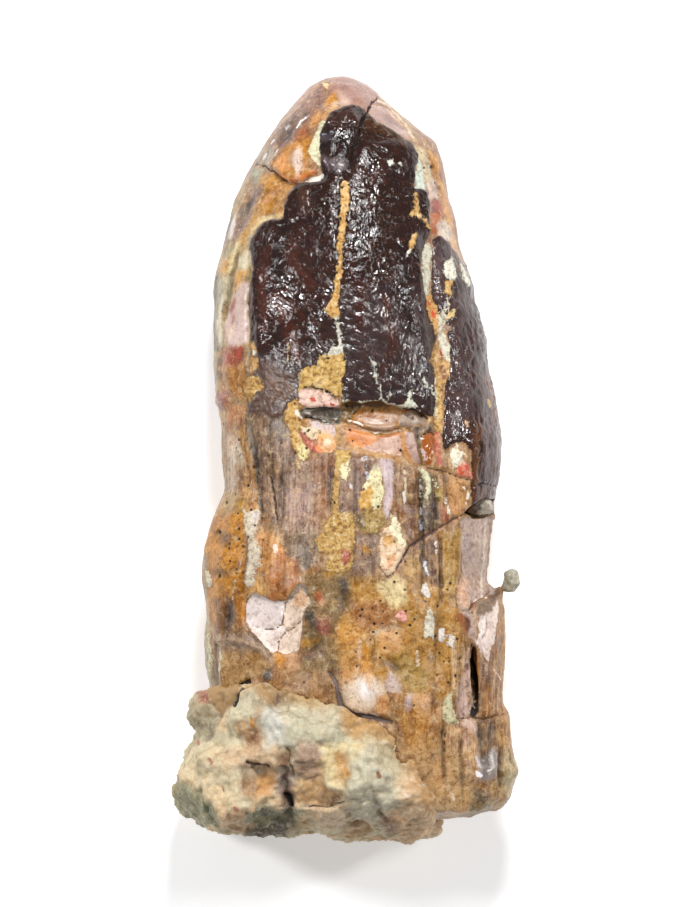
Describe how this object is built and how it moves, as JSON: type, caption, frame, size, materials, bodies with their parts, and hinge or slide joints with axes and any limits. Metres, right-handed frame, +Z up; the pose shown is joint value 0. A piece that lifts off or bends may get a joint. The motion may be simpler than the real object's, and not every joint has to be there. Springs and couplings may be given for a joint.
{
  "type": "fossil sauropod tooth",
  "caption": "Large spatulate fossil tooth with a worn dark-enamelled crown, a long cracked root and a lump of mudstone on its broken end, lying on its inner face.",
  "frame": {"origin": "centre of the bounding box across and along, on the surface that the tooth lies on", "axes": "+X across the tooth to the side with the splinter, +Y from the broken root to the worn tip, +Z up, out of the convex outer face"},
  "size_m": [0.0478, 0.1053, 0.0324],
  "materials": {
    "tooth": "mineralised tooth: near-black glossy enamel on the crown, tan, ochre and pink dentine and root",
    "matrix": "dull pale greenish-grey to cream mudstone with ochre and brown spots",
    "notch_chip": "pinkish-grey broken chip, half dull",
    "crumb": "dull grey-green mudstone crumb"
  },
  "bodies": {
    "root": {"tooth": "tooth", "matrix": "matrix", "notch_chip": "notch_chip", "crumb": "crumb"}
  },
  "joints": []
}
